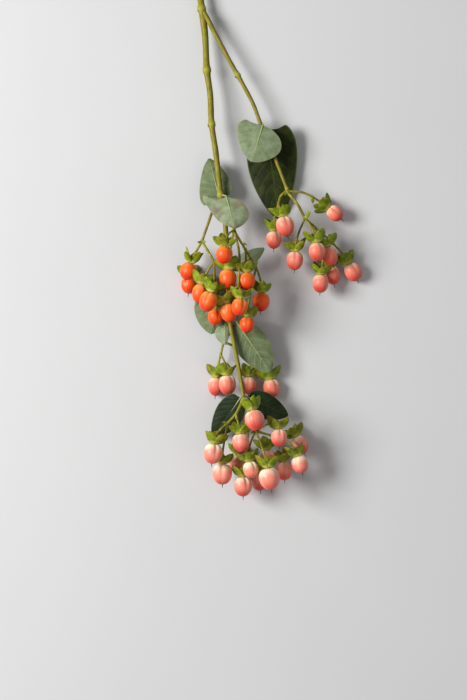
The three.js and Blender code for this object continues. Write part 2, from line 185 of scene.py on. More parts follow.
class Finish:
    """A material and the few kinds of node that its colours and bumps are made of."""

    def __init__(self, name, **constants):
        self.material = bpy.data.materials.new(name)
        self.material.use_nodes = True
        self.tree = self.material.node_tree
        self.shader = self.tree.nodes["Principled BSDF"]
        for socket, value in constants.items():
            self.shader.inputs[socket.replace("_", " ")].default_value = value

    def node(self, kind, inputs=(), **settings):
        made = self.tree.nodes.new(kind)
        for key, value in settings.items():
            setattr(made, key, value)
        for key, value in dict(inputs).items():
            self.put(made.inputs[key], value)
        return made

    def put(self, socket, value):
        if isinstance(value, bpy.types.NodeSocket):
            self.tree.links.new(value, socket)
        else:
            socket.default_value = value

    def math(self, operation, first, second=0.0):
        return self.node("ShaderNodeMath", {0: first, 1: second}, operation=operation).outputs[0]

    def step(self, value, low, high):
        """0 below low and 1 above high, with a soft change between them."""
        return self.node(
            "ShaderNodeMapRange",
            {"Value": value, "From Min": low, "From Max": high},
            interpolation_type="SMOOTHSTEP",
        ).outputs["Result"]

    def mix(self, share, first, second):
        return self.node(
            "ShaderNodeMix", {0: share, 6: first, 7: second}, data_type="RGBA"
        ).outputs[2]

    def stretched(self, source, scale):
        return self.node(
            "ShaderNodeMapping", {"Vector": source, "Scale": scale}
        ).outputs["Vector"]

    def cloud(self, vector, scale, detail=3.0, roughness=0.55):
        return self.node(
            "ShaderNodeTexNoise",
            {"Vector": vector, "Scale": scale, "Detail": detail, "Roughness": roughness},
        ).outputs["Fac"]

    def cells(self, vector, scale, feature="F1"):
        return self.node(
            "ShaderNodeTexVoronoi", {"Vector": vector, "Scale": scale}, feature=feature
        ).outputs["Distance"]

    def shade(self):
        """The three numbers that the mesh carries for its shading."""
        source = self.node("ShaderNodeAttribute", attribute_name="shade").outputs["Vector"]
        return self.node("ShaderNodeSeparateXYZ", {0: source}).outputs

    def surface(self):
        return self.node("ShaderNodeUVMap", uv_map="surface").outputs["UV"]

    def place(self):
        return self.node("ShaderNodeTexCoord").outputs["Object"]

    def bump(self, height, distance, strength=1.0):
        made = self.node(
            "ShaderNodeBump", {"Height": height, "Distance": distance, "Strength": strength}
        )
        self.put(self.shader.inputs["Normal"], made.outputs["Normal"])

    def colour(self, value):
        self.put(self.shader.inputs["Base Color"], value)
        return self.material


def stem_bark():
    """Yellow-green bark with brown patches, painted shade on the flank away from the lamp, fine stripes and
    dark specks. Shade: node, cut, side (painted shade, and the brown stub ends).
    """
    bark = Finish("stem_bark", Roughness=0.44, Specular_IOR_Level=0.2)
    node, cut, side = bark.shade()
    surface = bark.surface()
    stripes = bark.cloud(bark.stretched(surface, (26, 2.2, 1)), 1.0, 4)
    patches = bark.cloud(bark.stretched(surface, (2.4, 1.1, 1)), 1.0, 3)
    specks = bark.cells(bark.stretched(surface, (7, 3.4, 1)), 1.0)
    green = bark.mix(bark.step(stripes, 0.35, 0.7), paint("#6C680E"), paint("#938C26"))
    tinted = bark.mix(bark.step(patches, 0.5, 0.72), green, paint("#96743A"))
    # Painted shade: the flank away from the lamp is darkened to brown; the same side number also browns the
    # ends of the leaf stubs.
    painted_shade_and_stub_brown = bark.mix(bark.math("MULTIPLY", side, 0.72), tinted, paint("#4A3A0E"))
    knotted = bark.mix(bark.math("MULTIPLY", node, 0.7), painted_shade_and_stub_brown, paint("#A5A03C"))
    speckled = bark.mix(
        bark.math("MULTIPLY", bark.step(specks, 0.16, 0.07), 0.8), knotted, paint("#4E3216")
    )
    bark.bump(bark.math("ADD", stripes, bark.math("MULTIPLY", patches, 0.5)), 0.0001)
    return bark.colour(bark.mix(cut, speckled, paint("#D9D7A6")))


def thickness_with_nodes(base, distance_to_nodes, swell=0.34):
    """A stem's radius where it thickens over its nodes, and how much of a node is there."""
    near = max((math.exp(-((d / 1.9) ** 2)) for d in distance_to_nodes), default=0.0)
    return base * (1 + swell * near), near


def woody_stem(route, first, last, nodes, count, cut):
    around = 20
    line = smooth_line(route, count)
    knots = [min(range(count), key=lambda i: (line[i] - Vector(n)).length) for n in nodes]
    spacing = (line[1] - line[0]).length
    rings, facts = [], []
    for i, (place, ahead) in enumerate(zip(line, headings(line))):
        side = ahead.cross(UP).normalized()
        over = side.cross(ahead)
        share = i / (count - 1)
        radius, near = thickness_with_nodes(
            first + (last - first) * share, [(i - k) * spacing for k in knots]
        )
        radius *= 1 + 0.05 * noise.noise(place * 0.12)
        ring = []
        for column in range(around):
            angle = -math.pi / 2 + 2 * math.pi * column / around
            ridge = 1 + 0.07 * max(0.0, math.cos(2 * angle + 0.9 * math.sin(share * 40))) ** 6
            ridge += 0.03 * near * noise.noise(Vector((angle * 3, place.y * 0.8, 3.1)))
            ring.append(
                spot(place + (side * math.cos(angle) + over * math.sin(angle)) * radius * ridge)
            )
        rings.append(ring)
        facts.append((near, share * (count - 1) * spacing / 10))
    # The third shade number is painted shade, strongest on the flank straight across from the lamp.
    shape = Shape()
    shape.tube(
        rings,
        uv=lambda row, column: (column / around, facts[row][1]),
        shade=lambda row, column: (
            facts[row][0],
            1.0 if cut and row == 0 else 0.0,
            max(0.0, math.cos(math.pi / 2 + 2 * math.pi * column / around)) ** 2,
        ),
    )
    for node_place, knot in zip(nodes, knots):
        if node_place in (LOWER_SCARS, UPPER_SCARS, FORK, SHOOT_SCARS):
            for turn in (-1, 1):
                leaf_stub(shape, line[knot], headings(line)[knot], turn, rings[knot])
    return shape


def leaf_stub(shape, place, ahead, turn, ring):
    """The blunt brown-ended stub of a shed leaf, standing a little off the flank of a node."""
    around = 12
    out = (ahead.cross(UP).normalized() * turn + UP * 0.35).normalized()
    reach = (ring[0] - spot(place)).length / MM
    size = 0.85 + 0.3 * noise.noise(place * turn)
    start = place + ahead * 0.5 + out * reach * 0.6
    rings = []
    for length, radius in ((0.0, 1.15), (0.5, 1.0), (0.85, 0.86), (1.05, 0.7), (1.1, 0.5), (1.0, 0.3)):
        centre = start + out * length * size + ahead * length * 0.4
        rings.append([
            spot(centre + (ahead * 1.25 * math.cos(a) + out.cross(ahead) * math.sin(a)) * radius * size)
            for a in (2 * math.pi * i / around for i in range(around))
        ])
    shape.tube(
        rings,
        uv=lambda row, column: (column / around, row * 0.05),
        shade=lambda row, column: (0.8 if row < 3 else 0.0, 0.0, 0.2 if row < 3 else 1.8),
    )


bark = stem_bark()
stem_shape = woody_stem(
    STEM_ROUTE, 2.4, 1.15,
    (FORK, LOWER_SCARS, UPPER_SCARS, FIRST_LEAVES, SECOND_LEAVES, THIRD_LEAVES), 420, True,
)
stem = stem_shape.build("stem_bark_main", bark)
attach(stem, "root")
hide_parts("main_stem")

shoot_shape = woody_stem(
    SHOOT_ROUTE, 1.5, 0.95, (SHOOT_SCARS, SHOOT_LEAVES, SHOOT_TIP), 180, False
)
shoot = shoot_shape.build("stem_bark_shoot", bark)
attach(shoot, "root")
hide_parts("side_shoot")


# ------------------------------------------------------------------ leaves
# Thin ovate blades in opposite pairs, on short stalks. The upper side is dark and waxy, and the
# underside is pale grey-green with a raised midrib. Leaves in front of the stem hang face down.
#   node that it grows from, base, heading, dip, roll, length, curl, cupping, the left and the
#   right half (width, where it is widest, how far its lobe reaches back), face (1 upper side up,
#   -1 underside up), waviness, blotches, and how deep its colour is: on an underside this is
#   painted shade, a darker green for leaves that lay in shade, and on an upper side it turns the
#   green from olive to blue
LEAVES = {
    "first_back": (
        FIRST_LEAVES, (-29.9, -13.6, 12), 104, -10, -8, 25, -6, 0.12,
        (12.2, 0.2, 6), (9, 0.28, 3), -1, 0.8, 0.2, 0.85,
    ),
    "first_front": (
        FIRST_LEAVES, (-25.4, -14.4, 20.1), -74, 18, -6, 20.6, 24, 0.12,
        (11.2, 0.6, 0), (14, 0.13, 9), -1, 1.0, 1, 0.0,
    ),
    "shoot_front": (
        SHOOT_LEAVES, (-2.8, 30.5, 15.6), -107, 14, 2, 24, 22, 0.12,
        (15, 0.44, 0), (15, 0.24, 3.6), -1, 0.6, 0.1, 0.35,
    ),
    "shoot_back": (
        SHOOT_LEAVES, (-0.4, 28.4, 9), -82, -6.5, 3, 56, -2, 0.1,
        (17.4, 0.26, 7), (14.8, 0.36, 5), 1, 0.6, 0, 0.0,
    ),
    "second_left": (
        SECOND_LEAVES, (-26.6, -64, 11.3), -104, 1.5, 2, 36, 6, 0.08,
        (11, 0.45, 3), (14.4, 0.54, 3), -1, 0.3, 0.1, 0.55,
    ),
    "second_right": (
        SECOND_LEAVES, (-22.6, -58.6, 13), 31, 2, 12, 24.5, 10, 0.12,
        (4.8, 0.42, 0), (5.6, 0.42, 0), -1, 0.3, 0, 0.25,
    ),
    "third_right": (
        THIRD_LEAVES, (-19.2, -91.3, 13), -56, 4.6, -4, 38, 8, 0.08,
        (10.6, 0.5, 0), (10.6, 0.4, 0), -1, 0.3, 0.15, 0.75,
    ),
    "third_left": (
        THIRD_LEAVES, (-26.1, -92.8, 14.6), -91, -1, 2, 13, 8, 0.1,
        (2.3, 0.5, 0), (6.4, 0.45, 0), -1, 0.2, 0.1, 0.0,
    ),
    "tip_left": (
        TIP_LEAVES, (-16.6, -138.6, 18.6), -125, -18, 4, 32, 4, 0.1,
        (9, 0.42, 0), (9, 0.38, 2), 1, 0.4, 0, 1.0,
    ),
    "tip_right": (
        TIP_LEAVES, (-12, -138.2, 18.8), -25, -16, -4, 29, 4, 0.1,
        (7.6, 0.38, 1), (8.5, 0.42, 0), 1, 0.4, 0, 1.0,
    ),
}
LEAF_THICKNESS = 0.36
VEIN_PAIRS = 6
VEIN_SWEEP = 0.26


def direction(heading, dip):
    """The unit vector of a heading in plan and a dip above the table, in degrees."""
    heading, dip = math.radians(heading), math.radians(dip)
    return Vector((
        math.cos(dip) * math.cos(heading), math.cos(dip) * math.sin(heading), math.sin(dip)
    ))


def square_to(vector, axis):
    return (vector - axis * vector.dot(axis)).normalized()


def leaf_half_width(share, half):
    """A half oval with a round base and a blunt tip, widest where the half says."""
    warp = math.log(0.5) / math.log(half[1])
    fullness = 0.5 / warp if share < half[1] else 0.62
    return max(0.75, half[0] * max(0.0, math.sin(math.pi * share ** warp)) ** fullness)


def vein_pattern(leaf, u_and_v):
    """Shade of a blade: 1 on the midrib and the swept side veins, less on the fine net."""
    along, across = leaf.node("ShaderNodeSeparateXYZ", {0: u_and_v}).outputs[:2]
    off = leaf.math("ABSOLUTE", across)
    swept = leaf.math("SUBTRACT", along, leaf.math("MULTIPLY", leaf.math("POWER", off, 1.3), VEIN_SWEEP))
    phase = leaf.math("FRACT", leaf.math("MULTIPLY", swept, VEIN_PAIRS * 1.25))
    gap = leaf.math("ABSOLUTE", leaf.math("SUBTRACT", phase, 0.5))
    side_veins = leaf.math("MULTIPLY", leaf.step(gap, 0.07, 0.015), leaf.step(off, 1.0, 0.55))
    midrib = leaf.step(off, 0.05, 0.015)
    net = leaf.cells(leaf.stretched(u_and_v, (16, 9, 1)), 1.0, "DISTANCE_TO_EDGE")
    fine = leaf.math("MULTIPLY", leaf.step(net, 0.09, 0.0), 0.22)
    return leaf.math("MAXIMUM", leaf.math("MAXIMUM", midrib, side_veins), fine)


def leaf_underside():
    """Pale bloomed underside, browned in blotches where it is old, and darkened by painted shade as far as
    its depth says. Shade: edge, blotch, depth.
    """
    leaf = Finish("leaf_underside", Roughness=0.62, Specular_IOR_Level=0.25)
    edge, blotch, depth = leaf.shade()
    veins = vein_pattern(leaf, leaf.surface())
    place = leaf.place()
    mottle = leaf.cloud(place, 240, 5)
    spots = leaf.cloud(place, 95, 5, 0.7)
    pale = leaf.mix(leaf.step(mottle, 0.25, 0.75), paint("#74825E"), paint("#93A181"))
    # Painted shade: leaves that lay in shade get a darker green, as far as their depth says.
    painted_shade_green = leaf.mix(leaf.step(mottle, 0.25, 0.75), paint("#46552F"), paint("#5E6E45"))
    body = leaf.mix(depth, pale, painted_shade_green)
    veined = leaf.mix(leaf.math("MULTIPLY", veins, 0.36), body, paint("#A3AF80"))
    edged = leaf.mix(leaf.math("MULTIPLY", leaf.step(edge, 0.95, 1.0), 0.45), veined, paint("#A9AE80"))
    old = leaf.math("MULTIPLY", blotch, leaf.step(spots, 0.44, 0.62))
    leaf.bump(leaf.math("ADD", veins, leaf.math("MULTIPLY", mottle, 0.5)), 0.00012, 0.6)
    return leaf.colour(leaf.mix(leaf.math("MULTIPLY", old, 0.55), edged, paint("#876656")))


def leaf_upper_side():
    """Dark waxy upper side with sunken paler veins. Shade: edge, blotch, depth."""
    leaf = Finish(
        "leaf_upper", Roughness=0.55, Specular_IOR_Level=0.14, Coat_Weight=0.03, Coat_Roughness=0.5
    )
    edge, _, depth = leaf.shade()
    veins = vein_pattern(leaf, leaf.surface())
    mottle = leaf.cloud(leaf.place(), 150, 4)
    olive = leaf.mix(leaf.step(mottle, 0.32, 0.7), paint("#181E03"), paint("#2E3608"))
    blue = leaf.mix(leaf.step(mottle, 0.32, 0.7), paint("#16200E"), paint("#27341B"))
    body = leaf.mix(depth, olive, blue)
    veined = leaf.mix(leaf.math("MULTIPLY", veins, 0.35), body, paint("#3F5228"))
    leaf.bump(leaf.math("SUBTRACT", leaf.math("MULTIPLY", mottle, 0.4), veins), 0.00012, 0.5)
    return leaf.colour(leaf.mix(leaf.step(edge, 0.94, 1.0), veined, paint("#566538")))


def leaf_rib():
    rib = Finish("leaf_rib", Roughness=0.55, Specular_IOR_Level=0.3)
    grain = rib.cloud(rib.stretched(rib.surface(), (9, 3, 1)), 1.0, 3)
    rib.bump(grain, 0.00008)
    return rib.colour(rib.mix(rib.step(grain, 0.3, 0.7), paint("#8B9657"), paint("#A3AE72")))


def leaf_blade(name, plan, across=18, rows=46):
    node, base, heading, dip, roll, length, curl, cup, left, right, face, wavy, blotch, depth = plan
    seed = 7.3 * len(name) + 1.9 * length
    forward = direction(heading, dip)
    normal = Matrix.Rotation(math.radians(roll), 3, forward) @ square_to(UP, forward)
    side = forward.cross(normal)
    bend = math.radians(curl) / length

    def point(u, v, lift):
        plan_of_half = right if v > 0 else left
        half = leaf_half_width(u, plan_of_half)
        started = min(1.0, u / 0.08)
        lobe = plan_of_half[2] * started * started * (3 - 2 * started)
        run = u * length - lobe * v * v * (1 - u) ** 3
        ahead = math.sin(bend * run) / bend
        drop = (1 - math.cos(bend * run)) / bend
        swept = u - VEIN_SWEEP * abs(v) ** 1.3
        between = math.cos(2 * math.pi * (swept * VEIN_PAIRS * 1.25 - 0.5))
        quilt = -0.16 * between * min(1.0, half / 6) * abs(v) * (1.15 - abs(v)) * 2.4
        wave = wavy * abs(v) ** 2.2 * noise.noise(Vector((u * 3.1, v * 1.1, seed))) * 2.2
        hollow = -0.35 * math.exp(-((v * half / 1.1) ** 2)) * min(1.0, 8 * u)
        rise = wave - face * (quilt + hollow) * -1
        return Vector(base) + forward * ahead + side * (v * half) + normal * (
            rise - cup * half * v * v - drop + lift
        )

    columns = [-math.cos(math.pi * i / across) for i in range(across + 1)]
    rings, marks = [], []
    for row in range(rows + 1):
        u = (row / rows) ** 1.3
        top = [point(u, v, LEAF_THICKNESS / 2 * (1 - 0.8 * abs(v) ** 6)) for v in columns]
        low = [point(u, v, -LEAF_THICKNESS / 2 * (1 - 0.8 * abs(v) ** 6)) for v in columns[::-1]]
        rings.append([spot(p) for p in top + low])
        marks.append([(u, v) for v in columns + columns[::-1]])
    around = 2 * (across + 1)
    shape = Shape()
    shape.tube(
        rings,
        uv=lambda row, column: marks[row][column % around],
        shade=lambda row, column: (abs(marks[row][column][1]), blotch, depth),
        slot=lambda column: 0 if column <= across else 1,
    )
    route = [Vector(node), Vector(base) - forward * 0.6 + normal * 0.1]
    route += [point(u, 0.0, 0.12 * -face) for u in (0.03, 0.15, 0.3, 0.5, 0.72, 0.93)]
    line = smooth_line(route, 34)
    round_rib = 8
    rib_rings = []
    for i, (place, ahead) in enumerate(zip(line, headings(line))):
        share = i / 33
        radius = 0.62 * (1 - share) ** 1.7 + 0.1
        a = ahead.cross(UP).normalized()
        b = a.cross(ahead)
        rib_rings.append([
            spot(place + (a * math.cos(t) + b * math.sin(t)) * radius)
            for t in (2 * math.pi * k / round_rib for k in range(round_rib))
        ])
    shape.tube(
        rib_rings,
        uv=lambda row, column: (column / round_rib, row / 6),
        shade=lambda row, column: (0.0, 0.0, 0.0),
        slot=lambda column: 2,
    )
    return shape


underside, upper_side, rib = leaf_underside(), leaf_upper_side(), leaf_rib()
for name, plan in LEAVES.items():
    face = plan[10]
    finishes = (upper_side, underside) if face > 0 else (underside, upper_side)
    leaf = leaf_blade(name, plan).build(f"leaf_{name}_blade", *finishes, rib)
    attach(leaf, "root")
    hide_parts(f"leaf_{name}")


# ------------------------------------------------------------------ berries
# Waxy egg-shaped fruits of three grown-together carpels, which leave shallow furrows from the
# calyx. They are cream by the calyx and flush towards the tip. Each one stands for its CAD solid.
STYLE_LENGTH = 2.4
BERRY_COLOURS = {
    # shoulder, body, flush, groove line
    "berry_orange": ("#F6A252", "#F05A0E", "#D82A04", "#FA9042"),
    "berry_coral": ("#F8E2C2", "#EB8068", "#CC3A2C", "#F6B59E"),
    "berry_pink": ("#F8ECCE", "#EF8B75", "#D03C32", "#FACBB6"),
}
RIPENESS = {  # from -1, still cream over the shoulders, to 1, flushed all over
    "orange_left": (0.3, 0.4, -0.3, -0.6, -0.1),
    "orange_right": (0.5, 0.0, 0.4, -0.4, -0.2, 0.6, 0.3),
    "coral_shoot": (0.1, 0.1, 0.0, 0.3, 0.6, 0.0, 0.4, 0.5, 0.3),
    "coral_back": (0.2, 0.1, 0.1, 0.2),
    "pink_tip": (0.8, 0.4, -0.4, -0.3, 0.3, -0.8, -0.4, 0.2, -0.9, 0.3, 0.3, 0.3, 0.0, 0.3),
}
CLUSTERS = {
    "orange_left": "berry_orange",
    "orange_right": "berry_orange",
    "coral_shoot": "berry_coral",
    "coral_back": "berry_coral",
    "pink_tip": "berry_pink",
}


def berry_skin(slot):
    """Shade: share of the way to the tip, closeness to a furrow, the berry's own tint."""
    shoulder, body, flush, line = (paint(code) for code in BERRY_COLOURS[slot])
    skin = Finish(
        slot + "_skin", Roughness=0.4, Specular_IOR_Level=0.28, Coat_Weight=0.12,
        Coat_Roughness=0.3, Subsurface_Weight=0.1, Subsurface_Scale=0.0015,
    )
    skin.shader.inputs["Subsurface Radius"].default_value = (1.0, 0.35, 0.2)
    along, furrow, ripeness = skin.shade()
    surface = skin.surface()
    streaks = skin.cloud(skin.stretched(surface, (26, 1.4, 1)), 1.0, 4, 0.6)
    broad = skin.cloud(skin.stretched(surface, (6, 0.9, 1)), 1.0, 2, 0.5)
    blush = skin.cloud(skin.place(), 110, 3)
    flushed = along
    for cloud, weight in ((blush, 0.35), (streaks, 0.3), (broad, 0.45)):
        off = skin.math("MULTIPLY", skin.math("SUBTRACT", cloud, 0.5), weight)
        flushed = skin.math("ADD", flushed, off)
    flushed = skin.math("ADD", flushed, skin.math("MULTIPLY", ripeness, 0.16))
    pale = skin.mix(skin.step(flushed, -0.08, 0.42), shoulder, body)
    ripe = skin.mix(skin.step(flushed, 0.42, 1.0), pale, flush)
    lined = skin.mix(skin.math("MULTIPLY", furrow, 0.35), ripe, line)
    streaked = skin.mix(skin.math("MULTIPLY", skin.step(streaks, 0.5, 0.75), 0.3), lined, line)
    tip = skin.step(along, 0.965, 0.99)
    skin.bump(streaks, 0.00008, 0.6)
    return skin.colour(skin.mix(tip, streaked, paint("#5A3320")))


def berry_seat(node):
    """Base, axis, length and radius of a fruit, measured from its CAD solid."""
    points = [v.co.copy() for v in frame["nodes"][node].data.vertices]
    middle = sum(points, Vector()) / len(points)
    one = max(points, key=lambda p: (p - middle).length)
    other = max(points, key=lambda p: (p - one).length)
    ends = []
    for end in (one, other):
        near = [p for p in points if (p - end).dot(middle - end) < 2 * MM * (middle - end).length]
        ends.append((max((p - end).length for p in near), tuple(sum(near, Vector()) / len(near))))
    tip = Vector(min(ends)[1])
    axis = (tip - middle).normalized()
    low, high = (pick((p - middle).dot(axis) for p in points) for pick in (min, max))
    length = (high - low - STYLE_LENGTH * MM) / 0.97
    radius = max((p - middle - axis * (p - middle).dot(axis)).length for p in points)
    return middle + axis * (low - 0.03 * length), axis, length, radius


def berry_shape(base, axis, length, radius, ripeness, chance, around=42, rows=28):
    side = axis.cross(UP).normalized()
    over = side.cross(axis)
    turn = chance.uniform(0, 2 * math.pi / 3)
    depth = chance.uniform(0.09, 0.2)
    squareness = chance.uniform(0.8, 0.95)
    seed = chance.uniform(0, 50)
    rings, marks = [], []
    for row in range(rows):
        latitude = math.pi * (0.03 + 0.945 * row / (rows - 1))
        height = length * (1 - math.cos(latitude)) / 2
        wide = radius * math.sin(latitude) ** squareness * (1 + 0.08 * math.cos(latitude))
        sink = 0.075 * length * math.exp(-((wide / (0.42 * radius)) ** 2)) * (height < length / 2)
        shoulder = max(0.0, 0.3 + 0.7 * math.cos(latitude))
        ring, mark = [], []
        for column in range(around):
            angle = 2 * math.pi * column / around
            furrow = max(
                math.exp(-((abs((angle - turn - lobe + math.pi) % (2 * math.pi) - math.pi) / 0.2) ** 2))
                for lobe in (0, 2 * math.pi / 3, 4 * math.pi / 3)
            )
            out = wide * (1 - depth * furrow * (0.25 + shoulder))
            spread = noise.noise(Vector((math.cos(angle), math.sin(angle), height / length * 2 + seed)))
            out *= 1 + 0.018 * min(0.0, spread) * math.sin(latitude)
            lift = sink + 0.05 * length * furrow * shoulder * (wide / radius)
            ring.append(
                base + axis * (height + lift) + (side * math.cos(angle) + over * math.sin(angle)) * out
            )
            mark.append((height / length, furrow * (0.3 + shoulder), ripeness))
        rings.append(ring)
        marks.append(mark)
    shape = Shape()
    shape.tube(
        rings,
        uv=lambda row, column: (column / around, row / rows),
        shade=lambda row, column: marks[row][column],
    )
    return shape


berry_skins = {slot: berry_skin(slot) for slot in BERRY_COLOURS}
chance = random.Random(11)
seats = {}
for cluster, slot in CLUSTERS.items():
    names = sorted(
        (n for n in frame["nodes"] if n.startswith(f"berry_{cluster}_")),
        key=lambda n: int(n.rsplit("_", 1)[1]),
    )
    seats[cluster] = [berry_seat(n) for n in names]
    for name, seat, ripeness in zip(names, seats[cluster], RIPENESS[cluster]):
        berry = berry_shape(*seat, ripeness, chance).build(name + "_fruit", berry_skins[slot])
        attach(berry, "root")
        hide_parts(name)


# ------------------------------------------------------------------ stalks of the clusters
# Thin green stalks that fork from the nodes of the stem, ending in one stalk for each berry. Each
# is a round rod swept along its own line, thicker at the forks and flared under the berry.
RAYS = {
    # cluster: {ray: (first radius, last radius, route)}
    "orange_left": {
        "peduncle": (0.95, 0.8, ((-31.6, -15.4, 17.4), (-34.6, -24.4, 19), (-40.6, -41.8, 19.6))),
        "outer": (0.8, 0.7, ((-40.6, -41.8, 19.6), (-45, -49.4, 18))),
        "inner": (0.8, 0.7, ((-40.6, -41.8, 19.6), (-36, -49, 21), (-33.1, -54.6, 22.6))),
    },
    "orange_right": {
        "peduncle": (0.95, 0.85, ((-26.2, -18, 17.9), (-24, -26, 17.8), (-20.6, -35, 18.4))),
        "middle": (0.8, 0.7, ((-20.6, -35, 18.4), (-17.4, -50, 27), (-18, -70, 31.8))),
        "right": (0.8, 0.7, ((-20.6, -35, 18.4), (-13.6, -47, 22.6))),
        "low": (0.7, 0.65, ((-13.6, -47, 22.6), (-7, -58, 21))),
    },
    "coral_shoot": {
        "left": (0.85, 0.7, ((12, -10.2, 14.4), (8.4, -13.4, 16), (6.8, -18.4, 17))),
        "centre": (0.95, 0.85, ((12, -10.2, 14.4), (19, -19, 16), (23.3, -27.5, 17.4))),
        "right": (0.8, 0.7, ((12, -10.2, 14.4), (22.1, -11, 13), (28.3, -13.6, 11.4))),
        "far": (0.8, 0.7, ((23.3, -27.5, 17.4), (32, -34.4, 12), (38.3, -39.7, 7.6))),
    },
    "coral_back": {
        "left": (0.9, 0.7, ((-23.4, -94.2, 12.9), (-22.9, -97.4, 7.4), (-27, -104, 6.8), (-29, -112, 7.4))),
        "cross": (0.8, 0.7, ((-27, -104, 6.8), (-17, -108, 7.2), (-7.6, -111.4, 7.2))),
    },
    "pink_tip": {
        "left": (1, 0.75, ((-15.2, -139.6, 22.4), (-19.5, -148.4, 24.6), (-24.4, -154, 24.4))),
        "front": (0.8, 0.7, ((-15.2, -139.6, 22.4), (-14.6, -141.2, 25.4))),
        "side": (0.8, 0.7, ((-19.5, -148.4, 24.6), (-18.9, -151.4, 25.8))),
        "centre": (1, 0.75, ((-15.2, -139.6, 22.4), (-10.6, -150, 22.4), (-7.1, -159, 24))),
        "right": (0.8, 0.7, ((-7.1, -159, 24), (2.4, -162, 19), (10, -164, 16.4))),
        "under": (0.8, 0.7, ((-10.6, -150, 22.4), (-12, -160, 15), (-12, -168, 12.4))),
    },
}
BERRY_RAYS = {
    "orange_left": "outer outer inner inner inner",
    "orange_right": "peduncle peduncle right middle middle low low",
    "coral_shoot": "right left left centre centre centre far far far",
    "coral_back": "left left cross cross",
    "pink_tip": "front side left left centre centre centre right right right right under under under",
}
RECEPTACLE_LENGTH = 1.3
PEDICEL_RADIUS = 0.62


def stalk_skin():
    """Yellow-green with brown tints towards the forks. Shade: share along, tint, flare."""
    stalk = Finish("stalk_green", Roughness=0.5, Specular_IOR_Level=0.22)
    along, tint, flare = stalk.shade()
    place = stalk.place()
    patches = stalk.cloud(place, 90, 3)
    stripes = stalk.cloud(place, 420, 3)
    green = stalk.mix(stalk.step(stripes, 0.3, 0.7), paint("#716C12"), paint("#9C962E"))
    brown = stalk.math("ADD", patches, stalk.math("MULTIPLY", tint, 0.12))
    tinted = stalk.mix(stalk.math("MULTIPLY", stalk.step(brown, 0.5, 0.75), 0.75), green, paint("#76562A"))
    stalk.bump(stripes, 0.00006)
    return stalk.colour(stalk.mix(flare, tinted, paint("#BDB55A")))


def line_mesh(name, lines):
    """Loose lines as one mesh, each point with its thickness and its shade."""
    points, edges, thickness, shades = [], [], [], []
    for line in lines:
        first = len(points)
        edges += [(first + i, first + i + 1) for i in range(len(line) - 1)]
        for place, radius, shade in line:
            points.append(place)
            thickness.append(radius)
            shades += shade
    mesh = bpy.data.meshes.new(name)
    mesh.from_pydata(points, edges, [])
    mesh.attributes.new("thickness", "FLOAT", "POINT").data.foreach_set("value", thickness)
    mesh.attributes.new("shade", "FLOAT_VECTOR", "POINT").data.foreach_set("vector", shades)
    made = bpy.data.objects.new(name, mesh)
    bpy.context.scene.collection.objects.link(made)
    return made


def new_tree(name, inputs):
    """An empty geometry tree with named inputs, its input node and its output node."""
    tree = bpy.data.node_groups.new(name, "GeometryNodeTree")
    tree.interface.new_socket("Geometry", in_out="INPUT", socket_type="NodeSocketGeometry")
    tree.interface.new_socket("Geometry", in_out="OUTPUT", socket_type="NodeSocketGeometry")
    for label, kind, value in inputs:
        socket = tree.interface.new_socket(label, in_out="INPUT", socket_type=kind)
        if value is not None:
            socket.default_value = value
    return tree, tree.nodes.new("NodeGroupInput"), tree.nodes.new("NodeGroupOutput")


def named_value(tree, name, kind):
    made = tree.nodes.new("GeometryNodeInputNamedAttribute")
    made.data_type = kind
    made.inputs["Name"].default_value = name
    return next(o for o in made.outputs if o.enabled and o.name == "Attribute")


def chain(tree, source, *steps):
    """Passes geometry through one node after another, and returns the last one's output."""
    for kind, inputs in steps:
        made = tree.nodes.new(kind)
        tree.links.new(source, made.inputs[0])
        for key, value in inputs.items():
            if isinstance(value, bpy.types.NodeSocket):
                tree.links.new(value, made.inputs[key])
            else:
                made.inputs[key].default_value = value
        source = made.outputs[0]
    return source


def swept_rod_tree():
    """Sweeps a round profile along each line, as thick as the line's points say."""
    tree, start, end = new_tree(
        "swept_rod",
        (("Sides", "NodeSocketInt", 10), ("Bark", "NodeSocketMaterial", None)),
    )
    ring = tree.nodes.new("GeometryNodeCurvePrimitiveCircle")
    ring.inputs["Radius"].default_value = 1.0
    tree.links.new(start.outputs["Sides"], ring.inputs["Resolution"])
    rod = chain(
        tree, start.outputs["Geometry"],
        ("GeometryNodeMeshToCurve", {}),
        ("GeometryNodeCurveToMesh", {
            "Profile Curve": ring.outputs["Curve"], "Scale": named_value(tree, "thickness", "FLOAT"),
            "Fill Caps": True,
        }),
        ("GeometryNodeSetShadeSmooth", {}),
        ("GeometryNodeRealizeInstances", {}),
        ("GeometryNodeSetMaterial", {"Material": start.outputs["Bark"]}),
    )
    tree.links.new(rod, end.inputs[0])
    return tree


def grown(piece, tree, **settings):
    """Runs a geometry tree on a piece and keeps the result as its plain mesh."""
    modifier = piece.modifiers.new("grow", "NODES")
    modifier.node_group = tree
    for item in tree.interface.items_tree:
        if item.in_out == "INPUT" and item.name in settings:
            modifier[item.identifier] = settings[item.name]
    bpy.context.view_layer.update()
    graph = bpy.context.evaluated_depsgraph_get()
    mesh = bpy.data.meshes.new_from_object(
        piece.evaluated_get(graph), preserve_all_data_layers=True, depsgraph=graph
    )
    piece.modifiers.remove(modifier)
    piece.data = mesh
    return piece


def ray_line(first, last, route, chance):
    places = smooth_line(route, 26)
    tint = chance.uniform(-1, 1)
    length = sum((b - a).length for a, b in zip(places, places[1:]))
    line = []
    for i, place in enumerate(places):
        share = i / 25
        start_knob = 0.28 * math.exp(-((share * length / 1.3) ** 2))
        end_knob = 0.42 * math.exp(-(((1 - share) * length / 1.0) ** 2))
        radius = (first + (last - first) * share) * (1 + start_knob + end_knob)
        knob = max(0.0, end_knob + start_knob - 0.1)
        line.append((spot(place), radius * MM, (share, tint + 3 * knob, 0.0)))
    return line


